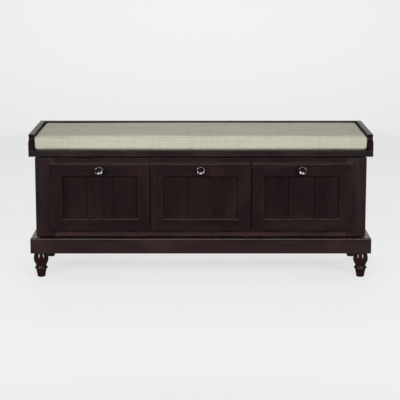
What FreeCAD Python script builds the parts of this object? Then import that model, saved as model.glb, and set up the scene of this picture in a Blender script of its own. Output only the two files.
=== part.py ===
import FreeCAD, Part
import math
import os

# Hall storage bench: a cushioned seat tray on a three-bay cabinet, on a plinth with four turned feet.
# Each bay is closed by a flap front that is hinged along its bottom edge and drops to level, where a
# sliding rod stay holds it. Millimetres, +Z up, the front faces -Y, origin on the floor at the centre
# of the overall width and depth.

Vector = FreeCAD.Vector
X_AXIS = Vector(1, 0, 0)
Y_AXIS = Vector(0, 1, 0)
Z_AXIS = Vector(0, 0, 1)
SIDES = (-1, 1)

# ---- overall sizes -------------------------------------------------------------------------------
WIDTH = 1220.0
DEPTH = 406.0
FOOT_HEIGHT = 91.0
PLINTH_HEIGHT = 55.0
TRAY_UNDERSIDE = 441.0
SEAT_THICKNESS = 22.0
WALL_HEIGHT = 56.5
WALL_THICKNESS = 18.0
OVERHANG = 20.0             # tray and plinth stand out past the cabinet by this much
LOWER_SHADOW_GAP = 3.5      # recess between the plinth ledge and the cabinet
UPPER_SHADOW_GAP = 6.0      # recess between the cabinet and the tray
KNOB_PROJECTION = 25.0
DOOR_STANDS_IN = 1.0        # door face behind the plane of the tray and plinth fronts
FRONT = -(DEPTH - KNOB_PROJECTION + DOOR_STANDS_IN) / 2

PLINTH_TOP = FOOT_HEIGHT + PLINTH_HEIGHT
CABINET_BOTTOM = PLINTH_TOP + LOWER_SHADOW_GAP
CABINET_TOP = TRAY_UNDERSIDE - UPPER_SHADOW_GAP
SEAT_TOP = TRAY_UNDERSIDE + SEAT_THICKNESS
TRAY_TOP = SEAT_TOP + WALL_HEIGHT
HALF = WIDTH / 2
CABINET_HALF = HALF - OVERHANG

# ---- tray ----------------------------------------------------------------------------------------
COVE_RADIUS = 11.5          # hollow across the front end of each side wall
COVE_CENTRE = 43.0          # above the seat board
NOSE_SETBACK = 8.0          # the lip over the hollow stands behind the front by this much
EASED = 1.5                 # sanded edge radius

# ---- cabinet -------------------------------------------------------------------------------------
BOARD = 18.0
FRAME_THICKNESS = 20.0
FRAME_BACK = OVERHANG + FRAME_THICKNESS
POST_WIDTH = 70.0
TOP_RAIL_BOTTOM = 401.0
BOTTOM_RAIL_TOP = 190.0
FLOOR_THICKNESS = 18.0
FLOOR_TOP = PLINTH_TOP + FLOOR_THICKNESS
BACK_THICKNESS = 6.0
BACK_INSET = 2.0
BACK_FACE = DEPTH - BACK_INSET - BACK_THICKNESS
BATTEN_WIDTH = 24.0
BATTEN_HEIGHT = 30.0
BATTEN_BOTTOM = TRAY_UNDERSIDE - BATTEN_HEIGHT
INSIDE_HALF = CABINET_HALF - BOARD

# ---- plinth and feet -----------------------------------------------------------------------------
PLINTH_BOARD = 20.0
PLINTH_EDGE_RADIUS = 4.0
BLOCK_SIZE = 60.0
CLEAT_SIZE = 20.0
FOOT_INSET = 34.0
FOOT_BOLT_RADIUS = 4.0
FOOT_BOLT_DEPTH = 32.0
BLOCK_BOLT_DEPTH = 42.0

# ---- flap fronts ---------------------------------------------------------------------------------
DOOR_NAMES = ("left", "centre", "right")
DOOR_WIDTH = 356.0
DOOR_HEIGHT = 244.0
DOOR_THICKNESS = 18.0
DOOR_GAP = 3.5
DOOR_BOTTOM = 172.0
DOOR_PITCH = DOOR_WIDTH + DOOR_GAP
STILE_WIDTH = 47.0
RAIL_WIDTH = 48.0
DOOR_FACE = DOOR_STANDS_IN
DOOR_REAR = DOOR_FACE + DOOR_THICKNESS
PANEL_RECESS = 8.5
PANEL_THICKNESS = 8.0
PANEL_TONGUE = 6.0
PANEL_ROOM = 1.0            # room for the panel to swell in its groove
PLANK_WIDTH = 94.0
GROOVE_WIDTH = 4.0
GROOVE_DEPTH = 2.5
STICKING_WIDTH = 4.0        # bevel round the inside of the door frame
STICKING_DEPTH = 4.0
DOOR_EDGE_RADIUS = 2.0

# ---- knobs ---------------------------------------------------------------------------------------
KNOB_RADIUS = 16.0
KNOB_DROP = 22.5            # below the top of the door
KNOB_HEIGHT = DOOR_BOTTOM + DOOR_HEIGHT - KNOB_DROP
KNOB_SCREW_RADIUS = 2.0
KNOB_SCREW_HEAD_RADIUS = 4.0
KNOB_SCREW_HEAD_HEIGHT = 2.6
KNOB_SCREW_REACH = 12.0

# ---- hinges --------------------------------------------------------------------------------------
HINGE_DEPTH = 19.5          # the pin's axis, behind the tray front
HINGE_HEIGHT = 169.0
HINGE_OFFSET = 100.0        # each side of the door's centre
HINGE_LENGTH = 50.0
LEAF_THICKNESS = 1.2
LEAF_HEIGHT = 18.0
KNUCKLE_RADIUS = 2.5
KNUCKLE_GAP = 0.3
PIN_RADIUS = 1.2
RUNNING_FIT = 0.05
MORTISE_ROOM = 0.2
KNUCKLE_ROOM = 0.4
HINGE_SCREW_SPACING = 17.0
HINGE_SCREW_HEIGHT = 11.5   # above the pin

# ---- stays ---------------------------------------------------------------------------------------
STAY_RADIUS = 140.0         # from the hinge pin to both the stay's pivots
STAY_LEAN = 3.7             # degrees, door pivot behind the upright through the hinge pin
STAY_SPREAD = 26.0          # degrees between the two pivots with the flap shut
STAY_OFFSET = 14.0          # rod centre to divider face
OPEN_ANGLE = 90.0
ROD_RADIUS = 3.0
EYE_RADIUS = 6.0
EYE_THICKNESS = 4.0
STOP_RADIUS = 5.5
STOP_LENGTH = 6.0
STOP_ROOM = 0.2
SWIVEL_RADIUS = 9.0
SWIVEL_LENGTH = 17.0
SWIVEL_STANDOFF = 2.5
SWIVEL_PIN_RADIUS = 3.0
SWIVEL_PIN_LENGTH = 8.0
STAY_PLATE_THICKNESS = 2.0
STAY_PLATE_LENGTH = 40.0
STAY_PLATE_WIDTH = 20.0
STAY_SCREW_OFFSET = 14.0
EAR_THICKNESS = 3.0
EAR_WIDTH = 12.0
BRACKET_PIN_RADIUS = 2.5
BRACKET_PIN_HEAD_RADIUS = 4.0
BRACKET_PIN_HEAD = 1.2
SIDE_PLAY = 0.3

# ---- cushion -------------------------------------------------------------------------------------
CUSHION_WIDTH = 1172.0
CUSHION_THICKNESS = 54.5
CUSHION_FRONT = 7.0
CUSHION_BACK_PLAY = 5.0
CUSHION_EDGE_RADIUS = 8.0

# ---- screws: shank radius, head radius, head height, length --------------------------------------
TRAY_SCREW = (2.0, 4.0, 2.6, 42.0)
HINGE_SCREW = (1.5, 3.0, 1.6, 12.0)
SCREW_FIT = 0.05


# ---- shape helpers -------------------------------------------------------------------------------
def at(x, depth, z):
    """A point, with depth measured back from the front of the tray."""
    return Vector(x, FRONT + depth, z)


def box(x_range, depth_range, z_range):
    x0, x1 = sorted(x_range)
    d0, d1 = depth_range
    z0, z1 = z_range
    return Part.makeBox(x1 - x0, d1 - d0, z1 - z0, at(x0, d0, z0))


def rod(radius, length, start, direction):
    return Part.makeCylinder(radius, length, start, direction)


def ease(shape, radius, wanted):
    """Round the edges whose centre the test picks."""
    edges = [edge for edge in shape.Edges if wanted(edge.CenterOfMass)]
    return shape.makeFillet(radius, edges)


def prism(points, vector):
    """Push a closed polygon along a vector."""
    return Part.Face(Part.makePolygon(points + points[:1])).extrude(vector)


def turned(outline):
    """Spin an outline, given as edges in radius and height, round the upright axis."""
    wire = Part.Wire(Part.__sortEdges__(outline))
    solid = Part.Face(wire).revolve(Vector(0, 0, 0), Z_AXIS, 360)
    return solid if solid.Volume > 0 else solid.reversed()


def lathe_point(radius, height):
    return Vector(radius, 0, height)


def line(start, end):
    return Part.makeLine(lathe_point(*start), lathe_point(*end))


def arc(start, middle, end):
    return Part.Arc(lathe_point(*start), lathe_point(*middle), lathe_point(*end)).toShape()


def flowing(*points):
    curve = Part.BSplineCurve()
    curve.interpolate([lathe_point(*point) for point in points])
    return curve.toShape()


def aimed(shape, direction, place):
    """Turn a shape made along +Z to a direction, then move it to its place."""
    placed = shape.copy()
    placed.Placement = FreeCAD.Placement(place, FreeCAD.Rotation(Z_AXIS, direction))
    return placed


def cut_all(shape, tools):
    for tool in tools:
        if shape.BoundBox.intersect(tool.BoundBox):
            shape = shape.cut(tool)
    return shape


# ---- screws --------------------------------------------------------------------------------------
def screw(size, grow=0.0):
    """A countersunk wood screw, head flush at z = 0 and point up; grow makes its hole instead."""
    shank, head, head_height, length = size
    tip = length - 2 * shank
    end = length + grow * 10
    corners = [(0, -grow), (head + grow, -grow), (shank + grow, head_height), (shank + grow, tip), (0, end)]
    sides = [line(start, stop) for start, stop in zip(corners, corners[1:] + corners[:1])]
    return turned(sides)


def screws(size, seats):
    return [aimed(screw(size), direction, place) for place, direction in seats]


def screw_holes(size, seats):
    return [aimed(screw(size, SCREW_FIT), direction, place) for place, direction in seats]


# ---- places of the screws ------------------------------------------------------------------------
def wall_screw_seats():
    """Up through the seat board into the three tray walls."""
    side_x = HALF - WALL_THICKNESS / 2
    back_depth = DEPTH - WALL_THICKNESS / 2
    seats = [(at(side * side_x, DEPTH * share, TRAY_UNDERSIDE), Z_AXIS)
             for side in SIDES for share in (0.15, 0.5, 0.85)]
    seats += [(at(x, back_depth, TRAY_UNDERSIDE), Z_AXIS) for x in (-HALF * 0.66, 0, HALF * 0.66)]
    return seats


def batten_screw_seats():
    """Up through the battens into the seat board."""
    front = FRAME_BACK + BATTEN_WIDTH / 2
    back = BACK_FACE - BATTEN_WIDTH / 2
    side_x = INSIDE_HALF - BATTEN_WIDTH / 2
    seats = [(at(x, depth, BATTEN_BOTTOM), Z_AXIS) for depth in (front, back) for x in (-400, 0, 400)]
    seats += [(at(side * side_x, DEPTH / 2, BATTEN_BOTTOM), Z_AXIS) for side in SIDES]
    return seats


def hinge_centres():
    return [centre + side * HINGE_OFFSET for centre in DOOR_CENTRES for side in SIDES]


def frame_leaf_seats():
    height = HINGE_HEIGHT + HINGE_SCREW_HEIGHT
    return [(at(x + side * HINGE_SCREW_SPACING, OVERHANG, height), Y_AXIS)
            for x in hinge_centres() for side in SIDES]


def door_leaf_seats(centre):
    height = HINGE_HEIGHT + HINGE_SCREW_HEIGHT
    return [(at(centre + hinge * HINGE_OFFSET + side * HINGE_SCREW_SPACING, DOOR_REAR, height), -Y_AXIS)
            for hinge in SIDES for side in SIDES]


# ---- the stay's geometry -------------------------------------------------------------------------
def stay_point(lean):
    """Depth and height of a pivot on the circle round the hinge pin."""
    angle = math.radians(lean)
    return HINGE_DEPTH + STAY_RADIUS * math.sin(angle), HINGE_HEIGHT + STAY_RADIUS * math.cos(angle)


def stay_reach(flap_angle):
    """Distance between the two pivots with the flap at an angle."""
    return 2 * STAY_RADIUS * math.sin(math.radians((STAY_SPREAD + flap_angle) / 2))


DOOR_CENTRES = (-DOOR_PITCH, 0.0, DOOR_PITCH)
DIVIDER_X = DOOR_PITCH / 2
DOOR_PIVOT = stay_point(STAY_LEAN)
SWIVEL_PIVOT = stay_point(STAY_LEAN + STAY_SPREAD)
ROD_DIRECTION = (at(0, *SWIVEL_PIVOT) - at(0, *DOOR_PIVOT)).normalize()
# each stay stands beside a divider: the divider's side of the middle, and which way the stay faces
STAY_SIDES = {"left": (-1, -1), "centre": (1, -1), "right": (1, 1)}


def stay_frame(name):
    """The divider face a stay is screwed to, the rod's x, and the way from that face to the rod."""
    divider_side, facing = STAY_SIDES[name]
    face_x = divider_side * DIVIDER_X + facing * BOARD / 2
    return face_x, face_x + facing * STAY_OFFSET, facing


def stay_post_seats(name):
    face_x, _, facing = stay_frame(name)
    depth, height = SWIVEL_PIVOT
    plate_face = face_x + facing * STAY_PLATE_THICKNESS
    return [(at(plate_face, depth + side * STAY_SCREW_OFFSET, height), X_AXIS * -facing)
            for side in SIDES]


def bracket_seats(name):
    _, rod_x, _ = stay_frame(name)
    _, height = DOOR_PIVOT
    return [(at(rod_x, DOOR_REAR + STAY_PLATE_THICKNESS, height + side * STAY_SCREW_OFFSET), -Y_AXIS)
            for side in SIDES]


# ---- tray ----------------------------------------------------------------------------------------
def make_seat_board():
    board = box((-HALF, HALF), (0, DEPTH), (TRAY_UNDERSIDE, SEAT_TOP))
    board = ease(board, EASED, lambda p: abs(p.z - TRAY_UNDERSIDE) < 0.1 or abs(abs(p.x) - HALF) < 0.1
                 and abs(p.z - SEAT_TOP) > 0.1)
    seats = wall_screw_seats() + batten_screw_seats()
    return cut_all(board, screw_holes(TRAY_SCREW, seats))


def make_side_wall(side):
    """An end wall of the tray: a hollow across its front end, under a thin lip."""
    outer = side * HALF
    inner = side * (HALF - WALL_THICKNESS)
    centre = SEAT_TOP + COVE_CENTRE
    wall = box((inner, outer), (0, DEPTH), (SEAT_TOP, TRAY_TOP))
    wall = wall.cut(box((inner, outer), (0, NOSE_SETBACK), (centre - COVE_RADIUS, TRAY_TOP)))
    wall = wall.cut(rod(COVE_RADIUS, WIDTH, at(-HALF, NOSE_SETBACK, centre), X_AXIS))
    wall = ease(wall, EASED, lambda p: abs(p.z - TRAY_TOP) < 0.1)
    return cut_all(wall, screw_holes(TRAY_SCREW, wall_screw_seats()))


def make_back_wall():
    half = HALF - WALL_THICKNESS
    wall = box((-half, half), (DEPTH - WALL_THICKNESS, DEPTH), (SEAT_TOP, TRAY_TOP))
    wall = ease(wall, EASED, lambda p: abs(p.z - TRAY_TOP) < 0.1 and abs(p.x) < 1)
    return cut_all(wall, screw_holes(TRAY_SCREW, wall_screw_seats()))


def make_tray_battens():
    """Four battens inside the top of the cabinet: they carry the tray clear of the shadow gap."""
    heights = (BATTEN_BOTTOM, TRAY_UNDERSIDE)
    across = (-INSIDE_HALF, INSIDE_HALF)
    front_inner = FRAME_BACK + BATTEN_WIDTH
    back_inner = BACK_FACE - BATTEN_WIDTH
    battens = [box(across, (FRAME_BACK, front_inner), heights),
               box(across, (back_inner, BACK_FACE), heights)]
    for side in SIDES:
        ends = (side * INSIDE_HALF, side * (INSIDE_HALF - BATTEN_WIDTH))
        battens.append(box(ends, (front_inner, back_inner), heights))
    holes = screw_holes(TRAY_SCREW, batten_screw_seats())
    return [cut_all(batten, holes) for batten in battens]


# ---- cabinet -------------------------------------------------------------------------------------
def cabinet_envelope():
    """The cabinet's outer block, with its outside edges eased."""
    block = box((-CABINET_HALF, CABINET_HALF), (OVERHANG, DEPTH), (CABINET_BOTTOM, CABINET_TOP))
    front_y = FRONT + OVERHANG
    return ease(block, DOOR_EDGE_RADIUS, lambda p: abs(p.x) > CABINET_HALF - 1 or abs(p.y - front_y) < 1)


def make_post(side, envelope):
    inner = side * (CABINET_HALF - POST_WIDTH)
    return envelope.common(box((inner, side * CABINET_HALF), (OVERHANG, FRAME_BACK), (0, TRAY_TOP)))


def make_frame_rail(heights, envelope):
    half = CABINET_HALF - POST_WIDTH
    return envelope.common(box((-half, half), (OVERHANG, FRAME_BACK), heights))


def make_bottom_rail(envelope):
    """The lower face-frame rail, let in for the hinge leaves and their knuckles."""
    rail = make_frame_rail((0, BOTTOM_RAIL_TOP), envelope)
    half = HINGE_LENGTH / 2 + MORTISE_ROOM
    for x in hinge_centres():
        leaf = (OVERHANG, OVERHANG + LEAF_THICKNESS)
        leaf_top = HINGE_HEIGHT + LEAF_HEIGHT + MORTISE_ROOM
        rail = rail.cut(box((x - half, x + half), leaf, (HINGE_HEIGHT, leaf_top)))
        trough = rod(KNUCKLE_RADIUS + KNUCKLE_ROOM, 2 * half, at(x - half, HINGE_DEPTH, HINGE_HEIGHT), X_AXIS)
        rail = rail.cut(trough)
    return cut_all(rail, screw_holes(HINGE_SCREW, frame_leaf_seats()))


def make_side_panel(side, envelope):
    faces = (side * INSIDE_HALF, side * CABINET_HALF)
    return envelope.common(box(faces, (FRAME_BACK, DEPTH), (0, TRAY_TOP)))


def make_divider(side):
    """An upright between two bays, notched round the face-frame rails and the battens."""
    faces = (side * DIVIDER_X - BOARD / 2, side * DIVIDER_X + BOARD / 2)
    divider = box(faces, (OVERHANG, BACK_FACE), (FLOOR_TOP, TRAY_UNDERSIDE))
    wide = (faces[0] - 1, faces[1] + 1)
    notches = [((OVERHANG, FRAME_BACK), (FLOOR_TOP, BOTTOM_RAIL_TOP)),
               ((OVERHANG, FRAME_BACK), (TOP_RAIL_BOTTOM, TRAY_UNDERSIDE)),
               ((FRAME_BACK, FRAME_BACK + BATTEN_WIDTH), (BATTEN_BOTTOM, TRAY_UNDERSIDE)),
               ((BACK_FACE - BATTEN_WIDTH, BACK_FACE), (BATTEN_BOTTOM, TRAY_UNDERSIDE))]
    for depths, heights in notches:
        divider = divider.cut(box(wide, depths, heights))
    seats = [seat for name in DOOR_NAMES for seat in stay_post_seats(name)]
    return cut_all(divider, screw_holes(HINGE_SCREW, seats))


def make_bottom_panel():
    return box((-INSIDE_HALF, INSIDE_HALF), (FRAME_BACK, BACK_FACE), (PLINTH_TOP, FLOOR_TOP))


def make_back_panel():
    across = (-INSIDE_HALF, INSIDE_HALF)
    return box(across, (BACK_FACE, BACK_FACE + BACK_THICKNESS), (CABINET_BOTTOM, CABINET_TOP))


# ---- plinth and feet -----------------------------------------------------------------------------
def plinth_envelope():
    block = box((-HALF, HALF), (0, DEPTH), (FOOT_HEIGHT, PLINTH_TOP))
    block = ease(block, EASED, lambda p: abs(p.z - (FOOT_HEIGHT + PLINTH_TOP) / 2) < 0.1)
    return ease(block, PLINTH_EDGE_RADIUS, lambda p: abs(p.z - PLINTH_TOP) < 0.1)


def mitred_board(outer_ends, inner_ends):
    """A plinth board as seen from above, from its outer edge's ends to its inner edge's ends."""
    corners = [*outer_ends, *reversed(inner_ends)]
    points = [at(x, depth, FOOT_HEIGHT) for x, depth in corners]
    return prism(points, Vector(0, 0, PLINTH_HEIGHT))


def make_plinth_boards():
    """Four boards, mitred at the corners."""
    outer = ((-HALF, 0), (HALF, 0), (HALF, DEPTH), (-HALF, DEPTH))
    near = PLINTH_BOARD
    far = DEPTH - PLINTH_BOARD
    inner_x = HALF - PLINTH_BOARD
    inner = ((-inner_x, near), (inner_x, near), (inner_x, far), (-inner_x, far))
    envelope = plinth_envelope()
    boards = {}
    for index, name in enumerate(("front", "right", "back", "left")):
        follow = (index + 1) % 4
        board = mitred_board((outer[index], outer[follow]), (inner[index], inner[follow]))
        boards["plinth_" + name] = board.common(envelope)
    return boards


def foot_places():
    x = HALF - FOOT_INSET
    depths = {"front": FOOT_INSET, "back": DEPTH - FOOT_INSET}
    return {f"foot_{row}_{name}": (side * x, depth)
            for row, depth in depths.items() for name, side in (("left", -1), ("right", 1))}


def make_plinth_blocks():
    """Corner blocks that take the feet, and cleats between them that carry the cabinet."""
    heights = (FOOT_HEIGHT, PLINTH_TOP)
    inner_x = HALF - PLINTH_BOARD
    blocks = []
    for near, far in ((PLINTH_BOARD, PLINTH_BOARD + BLOCK_SIZE),
                      (DEPTH - PLINTH_BOARD - BLOCK_SIZE, DEPTH - PLINTH_BOARD)):
        for side in SIDES:
            blocks.append(box((side * inner_x, side * (inner_x - BLOCK_SIZE)), (near, far), heights))
    cleat_half = inner_x - BLOCK_SIZE
    cleat_heights = (PLINTH_TOP - CLEAT_SIZE, PLINTH_TOP)
    for near in (PLINTH_BOARD, DEPTH - PLINTH_BOARD - CLEAT_SIZE):
        blocks.append(box((-cleat_half, cleat_half), (near, near + CLEAT_SIZE), cleat_heights))
    between_blocks = (PLINTH_BOARD + BLOCK_SIZE, DEPTH - PLINTH_BOARD - BLOCK_SIZE)
    for side in SIDES:
        blocks.append(box((side * inner_x, side * (inner_x - CLEAT_SIZE)), between_blocks, cleat_heights))
    holes = [rod(FOOT_BOLT_RADIUS + SCREW_FIT, BLOCK_BOLT_DEPTH, at(x, depth, FOOT_HEIGHT), Z_AXIS)
             for x, depth in foot_places().values()]
    return [cut_all(block, holes) for block in blocks]


def make_foot(x, depth):
    """A turned foot: tapered toe, sharp ring, narrow waist and a round bulb under the plinth."""
    toe_round = 2.0
    toe_flat = 12.0
    toe = (toe_flat + toe_round, toe_round)
    bend = toe_round * math.sqrt(0.5)
    ring_low = (20.0, 30.0)
    ring_high = (20.0, 37.0)
    waist = (19.0, 39.0)
    neck = (23.5, FOOT_HEIGHT)
    outline = [line((0, 0), (toe_flat, 0)),
               arc((toe_flat, 0), (toe_flat + bend, toe_round - bend), toe),
               flowing(toe, (15.7, 13.0), (17.7, 22.0), (19.1, 27.5), ring_low),
               arc(ring_low, (23.3, 33.5), ring_high),
               line(ring_high, waist),
               flowing(waist, (20.4, 47.0), (24.6, 55.5), (26.5, 64.5), (25.9, 75.0), (23.9, 86.0), neck),
               line(neck, (0, FOOT_HEIGHT)),
               line((0, FOOT_HEIGHT), (0, 0))]
    foot = turned(outline)
    bolt_room = rod(FOOT_BOLT_RADIUS + SCREW_FIT, FOOT_BOLT_DEPTH, Vector(0, 0, FOOT_HEIGHT), -Z_AXIS)
    foot = foot.cut(bolt_room)
    foot.translate(at(x, depth, 0))
    return foot


def make_foot_bolts():
    start = FOOT_HEIGHT - FOOT_BOLT_DEPTH + 1
    length = FOOT_BOLT_DEPTH + BLOCK_BOLT_DEPTH - 2
    return [rod(FOOT_BOLT_RADIUS, length, at(x, depth, start), Z_AXIS) for x, depth in foot_places().values()]


# ---- flap fronts ---------------------------------------------------------------------------------
def door_outline(centre):
    """The whole door as a slab, with its front edges eased."""
    across = (centre - DOOR_WIDTH / 2, centre + DOOR_WIDTH / 2)
    slab = box(across, (DOOR_FACE, DOOR_REAR), (DOOR_BOTTOM, DOOR_BOTTOM + DOOR_HEIGHT))
    return ease(slab, DOOR_EDGE_RADIUS, lambda p: abs(p.y - (FRONT + DOOR_FACE)) < 0.1)


def panel_opening():
    """Half width, bottom and top of the opening inside a door's frame."""
    return DOOR_WIDTH / 2 - STILE_WIDTH, DOOR_BOTTOM + RAIL_WIDTH, DOOR_BOTTOM + DOOR_HEIGHT - RAIL_WIDTH


def opening_rectangle(centre, depth, grow):
    half, low, high = panel_opening()
    corners = ((-1, low - grow), (1, low - grow), (1, high + grow), (-1, high + grow))
    points = [at(centre + side * (half + grow), depth, z) for side, z in corners]
    return Part.makePolygon(points + points[:1])


def sticking_cutter(centre):
    """The bevel round the inside of the door frame."""
    front = opening_rectangle(centre, DOOR_FACE, STICKING_WIDTH)
    back = opening_rectangle(centre, DOOR_FACE + STICKING_DEPTH, 0)
    return Part.makeLoft([front, back], True, True)


def panel_block(centre, tongue):
    half, low, high = panel_opening()
    near = DOOR_FACE + PANEL_RECESS
    reach = half + tongue
    return box((centre - reach, centre + reach), (near, near + PANEL_THICKNESS), (low - tongue, high + tongue))


def make_panel(centre):
    """Bead-board panel: one board grooved into three planks."""
    panel = panel_block(centre, PANEL_TONGUE)
    _, low, high = panel_opening()
    face = DOOR_FACE + PANEL_RECESS
    for side in SIDES:
        x = centre + side * PLANK_WIDTH / 2
        points = [at(x - GROOVE_WIDTH / 2, face, low - PANEL_TONGUE),
                  at(x + GROOVE_WIDTH / 2, face, low - PANEL_TONGUE),
                  at(x, face + GROOVE_DEPTH, low - PANEL_TONGUE)]
        panel = panel.cut(prism(points, Vector(0, 0, high - low + 2 * PANEL_TONGUE)))
    return panel


def leaf_mortises(centre):
    half = HINGE_LENGTH / 2 + MORTISE_ROOM
    top = HINGE_HEIGHT + LEAF_HEIGHT + MORTISE_ROOM
    return [box((x - half, x + half), (DOOR_REAR - LEAF_THICKNESS, DOOR_REAR), (DOOR_BOTTOM, top))
            for x in (centre + side * HINGE_OFFSET for side in SIDES)]


def make_door_frame(name, centre):
    """The two stiles and two rails of a door's frame."""
    slab = door_outline(centre)
    tools = [sticking_cutter(centre), panel_block(centre, PANEL_TONGUE + PANEL_ROOM)]
    tools += leaf_mortises(centre)
    tools += screw_holes(HINGE_SCREW, door_leaf_seats(centre) + bracket_seats(name))
    knob_hole = rod(KNOB_SCREW_RADIUS + SCREW_FIT, DOOR_THICKNESS, at(centre, DOOR_FACE, KNOB_HEIGHT), Y_AXIS)
    tools.append(knob_hole)
    half, low, high = panel_opening()
    depths = (DOOR_FACE, DOOR_REAR)
    tall = (DOOR_BOTTOM, DOOR_BOTTOM + DOOR_HEIGHT)
    stiles = [box((centre + side * half, centre + side * DOOR_WIDTH / 2), depths, tall) for side in SIDES]
    rails = [box((centre - half, centre + half), depths, heights)
             for heights in ((DOOR_BOTTOM, low), (high, DOOR_BOTTOM + DOOR_HEIGHT))]
    stiles = [cut_all(slab.common(blank), tools) for blank in stiles]
    rails = [cut_all(slab.common(blank), tools) for blank in rails]
    return stiles, rails


# ---- knobs ---------------------------------------------------------------------------------------
def make_knob(centre):
    """A turned metal knob: small base, slim neck, and a wide head with a raised rim and dished face."""
    reach = KNOB_PROJECTION
    rim = KNOB_RADIUS
    base, neck, bore = 8.0, 5.6, KNOB_SCREW_RADIUS + SCREW_FIT
    bore_end = KNOB_SCREW_REACH + 1
    dish_floor = reach - 4.2
    dish_edge = (rim - 4.2, reach - 2.0)
    dish_radius = (dish_edge[0] ** 2 + (dish_edge[1] - dish_floor) ** 2) / (2 * (dish_edge[1] - dish_floor))
    dish_half = dish_edge[0] / 2
    dish_middle = (dish_half, dish_floor + dish_radius - math.sqrt(dish_radius ** 2 - dish_half ** 2))
    outline = [line((bore, 0), (base, 0)),
               line((base, 0), (base, 1.2)),
               arc((base, 1.2), (neck + 0.7, 2.4), (neck, 5.0)),
               line((neck, 5.0), (neck, 8.5)),
               arc((neck, 8.5), (9.0, 14.2), (rim - 1.2, 17.6)),
               arc((rim - 1.2, 17.6), (rim, 19.6), (rim - 0.2, 21.8)),
               arc((rim - 0.2, 21.8), (rim - 1.1, 24.2), (rim - 2.6, reach)),
               arc((rim - 2.6, reach), (rim - 3.5, reach - 0.6), dish_edge),
               arc(dish_edge, dish_middle, (0, dish_floor)),
               line((0, dish_floor), (0, bore_end)),
               line((0, bore_end), (bore, bore_end)),
               line((bore, bore_end), (bore, 0))]
    return aimed(turned(outline), -Y_AXIS, at(centre, DOOR_FACE, KNOB_HEIGHT))


def make_knob_screw(centre):
    """A pan-head machine screw from inside the door into the knob."""
    shank = rod(KNOB_SCREW_RADIUS, DOOR_THICKNESS + KNOB_SCREW_REACH, at(centre, DOOR_REAR, KNOB_HEIGHT), -Y_AXIS)
    head = rod(KNOB_SCREW_HEAD_RADIUS, KNOB_SCREW_HEAD_HEIGHT, at(centre, DOOR_REAR, KNOB_HEIGHT), Y_AXIS)
    head = ease(head, 1.0, lambda p: p.y > FRONT + DOOR_REAR + KNOB_SCREW_HEAD_HEIGHT - 0.1)
    return shank.fuse(head).removeSplitter()


# ---- hinges --------------------------------------------------------------------------------------
def knuckle_spans(x):
    """Three knuckles along a hinge: the outer two on the frame's leaf, the middle one on the door's."""
    start = x - HINGE_LENGTH / 2
    third = HINGE_LENGTH / 3
    middle = (start + third + KNUCKLE_GAP / 2, start + 2 * third - KNUCKLE_GAP / 2)
    outer = ((start, start + third - KNUCKLE_GAP / 2), (start + 2 * third + KNUCKLE_GAP / 2, start + HINGE_LENGTH))
    return outer, (middle,)


def along_pin(radius, span):
    return rod(radius, span[1] - span[0], at(span[0], HINGE_DEPTH, HINGE_HEIGHT), X_AXIS)


def make_leaf(x, own_spans, other_spans, plate_depths, seats):
    half = HINGE_LENGTH / 2
    leaf = box((x - half, x + half), plate_depths, (HINGE_HEIGHT + PIN_RADIUS, HINGE_HEIGHT + LEAF_HEIGHT))
    for first, last in other_spans:
        clear = (first - KNUCKLE_GAP, last + KNUCKLE_GAP)
        leaf = leaf.cut(along_pin(KNUCKLE_RADIUS + KNUCKLE_ROOM, clear))
    for span in own_spans:
        leaf = leaf.fuse(along_pin(KNUCKLE_RADIUS, span))
    leaf = leaf.removeSplitter()
    leaf = leaf.cut(along_pin(PIN_RADIUS + RUNNING_FIT, (x - half, x + half)))
    return cut_all(leaf, screw_holes(HINGE_SCREW, seats))


def make_frame_leaves():
    depths = (OVERHANG, OVERHANG + LEAF_THICKNESS)
    leaves = []
    for x in hinge_centres():
        outer, middle = knuckle_spans(x)
        leaves.append(make_leaf(x, outer, middle, depths, frame_leaf_seats()))
    return leaves


def make_door_leaves(centre):
    depths = (DOOR_REAR - LEAF_THICKNESS, DOOR_REAR)
    leaves = []
    for side in SIDES:
        x = centre + side * HINGE_OFFSET
        outer, middle = knuckle_spans(x)
        leaves.append(make_leaf(x, middle, outer, depths, door_leaf_seats(centre)))
    return leaves


def make_hinge_pins():
    half = HINGE_LENGTH / 2
    return [along_pin(PIN_RADIUS, (x - half, x + half)) for x in hinge_centres()]


# ---- stays ---------------------------------------------------------------------------------------
def make_stay_post(name):
    """Plate screwed to a divider, with the pin that the rod guide swivels on."""
    face_x, _, facing = stay_frame(name)
    depth, height = SWIVEL_PIVOT
    plate_x = (face_x, face_x + facing * STAY_PLATE_THICKNESS)
    half_length = STAY_PLATE_LENGTH / 2
    half_width = STAY_PLATE_WIDTH / 2
    plate = box(plate_x, (depth - half_length, depth + half_length), (height - half_width, height + half_width))
    plate = ease(plate, 4.0, lambda p: abs(abs(p.z - height) - half_width) < 0.1
                 and abs(abs(p.y - FRONT - depth) - half_length) < 0.1)
    plate = cut_all(plate, screw_holes(HINGE_SCREW, stay_post_seats(name)))
    pin = rod(SWIVEL_PIN_RADIUS, SWIVEL_PIN_LENGTH, at(face_x, depth, height), X_AXIS * facing)
    return plate.fuse(pin).removeSplitter()


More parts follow.
